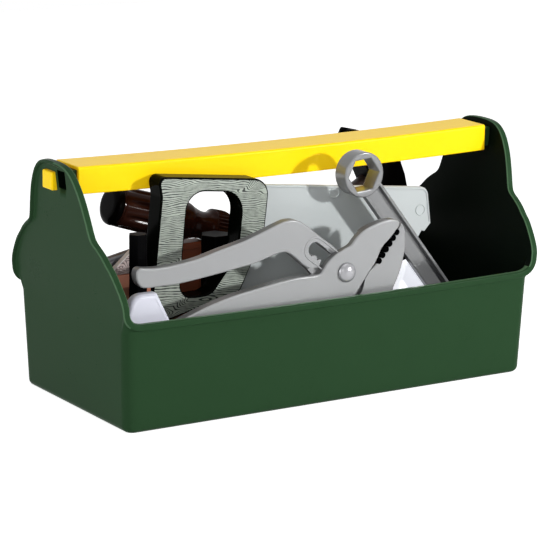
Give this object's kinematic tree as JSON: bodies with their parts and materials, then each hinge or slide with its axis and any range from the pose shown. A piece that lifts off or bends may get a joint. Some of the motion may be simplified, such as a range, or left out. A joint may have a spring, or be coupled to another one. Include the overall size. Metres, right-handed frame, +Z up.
{
  "type": "toy tool box",
  "caption": "Open toy tool tote with tall end panels, a bar handle and lift-out toy tools, the pliers hinged at their rivet.",
  "frame": {"origin": "middle of the tub's underside, on the surface it stands on", "axes": "+X along the tub to the right end panel, +Y to the tub's back, +Z up"},
  "size_m": [0.3196, 0.1454, 0.1559],
  "materials": {
    "green_plastic": "gloss",
    "yellow_plastic": "gloss",
    "saw_grip_plastic": "gloss",
    "blade_plastic": "gloss",
    "front_half_plastic": "gloss",
    "back_half_plastic": "gloss",
    "rivet_plastic": "gloss",
    "spanner_plastic": "gloss",
    "hammer_head_plastic": "gloss",
    "hammer_handle_plastic": "gloss",
    "driver_cap_plastic": "gloss",
    "driver_grip_plastic": "gloss",
    "driver_blade_plastic": "gloss",
    "block_plastic": "satin",
    "tall_board_plastic": "satin",
    "corner_board_plastic": "satin",
    "grained_plastic": "satin",
    "rod_plastic": "satin",
    "hex_bar_plastic": "gloss",
    "peg_plastic": "gloss",
    "left_white_plastic": "gloss",
    "right_white_plastic": "gloss"
  },
  "bodies": {
    "tote": {"tub": "green_plastic", "handle_bar": "yellow_plastic"},
    "block": {"wood_block": "block_plastic"},
    "saw": {"saw_handle": "saw_grip_plastic", "saw_blade": "blade_plastic"},
    "left_white": {"white_block_left": "left_white_plastic"},
    "pliers": {"pliers_front_half": "front_half_plastic", "pliers_rivet": "rivet_plastic"},
    "pliers_back": {"pliers_back_half": "back_half_plastic"},
    "spanner": {"ring_spanner": "spanner_plastic"},
    "hammer": {"hammer_head": "hammer_head_plastic", "hammer_handle": "hammer_handle_plastic"},
    "board": {"tall_board": "tall_board_plastic"},
    "screwdriver": {"screwdriver_cap": "driver_cap_plastic", "screwdriver_grip": "driver_grip_plastic", "screwdriver_blade": "driver_blade_plastic"},
    "corner": {"corner_board": "corner_board_plastic"},
    "wedge": {"grained_wedge": "grained_plastic"},
    "rod": {"grey_rod": "rod_plastic"},
    "hex": {"hex_bar": "hex_bar_plastic"},
    "peg": {"black_peg": "peg_plastic"},
    "right_white": {"white_block_right": "right_white_plastic"}
  },
  "joints": [
    {"name": "block_lift", "type": "slide", "parent": "tote", "child": "block", "axis": [0, 0, 1], "range_m": [0, 0.2]},
    {"name": "saw_lift", "type": "slide", "parent": "block", "child": "saw", "axis": [0, 0, 1], "range_m": [0, 0.2]},
    {"name": "left_white_lift", "type": "slide", "parent": "tote", "child": "left_white", "axis": [0, 0, 1], "range_m": [0, 0.2]},
    {"name": "pliers_lift", "type": "slide", "parent": "left_white", "child": "pliers", "axis": [0, 0, 1], "range_m": [0, 0.2]},
    {"name": "pliers_hinge", "type": "hinge", "parent": "pliers", "child": "pliers_back", "pos_m": [0.009, -0.0612, 0.08143], "axis": [0, 1, 0], "range_deg": [0, 25]},
    {"name": "spanner_lift", "type": "slide", "parent": "tote", "child": "spanner", "axis": [0, 0, 1], "range_m": [0, 0.2]},
    {"name": "hammer_lift", "type": "slide", "parent": "tote", "child": "hammer", "axis": [0, 0, 1], "range_m": [0, 0.2]},
    {"name": "board_lift", "type": "slide", "parent": "tote", "child": "board", "axis": [0, 0, 1], "range_m": [0, 0.2]},
    {"name": "screwdriver_lift", "type": "slide", "parent": "board", "child": "screwdriver", "axis": [0, 0, 1], "range_m": [0, 0.2]},
    {"name": "corner_lift", "type": "slide", "parent": "tote", "child": "corner", "axis": [0, 0, 1], "range_m": [0, 0.2]},
    {"name": "wedge_lift", "type": "slide", "parent": "corner", "child": "wedge", "axis": [0, 0, 1], "range_m": [0, 0.2]},
    {"name": "rod_lift", "type": "slide", "parent": "corner", "child": "rod", "axis": [0, 0, 1], "range_m": [0, 0.2]},
    {"name": "hex_lift", "type": "slide", "parent": "tote", "child": "hex", "axis": [0, 0, 1], "range_m": [0, 0.03]},
    {"name": "peg_lift", "type": "slide", "parent": "tote", "child": "peg", "axis": [0, 0, 1], "range_m": [0, 0.2]},
    {"name": "right_white_lift", "type": "slide", "parent": "tote", "child": "right_white", "axis": [0, 0, 1], "range_m": [0, 0.2]}
  ]
}
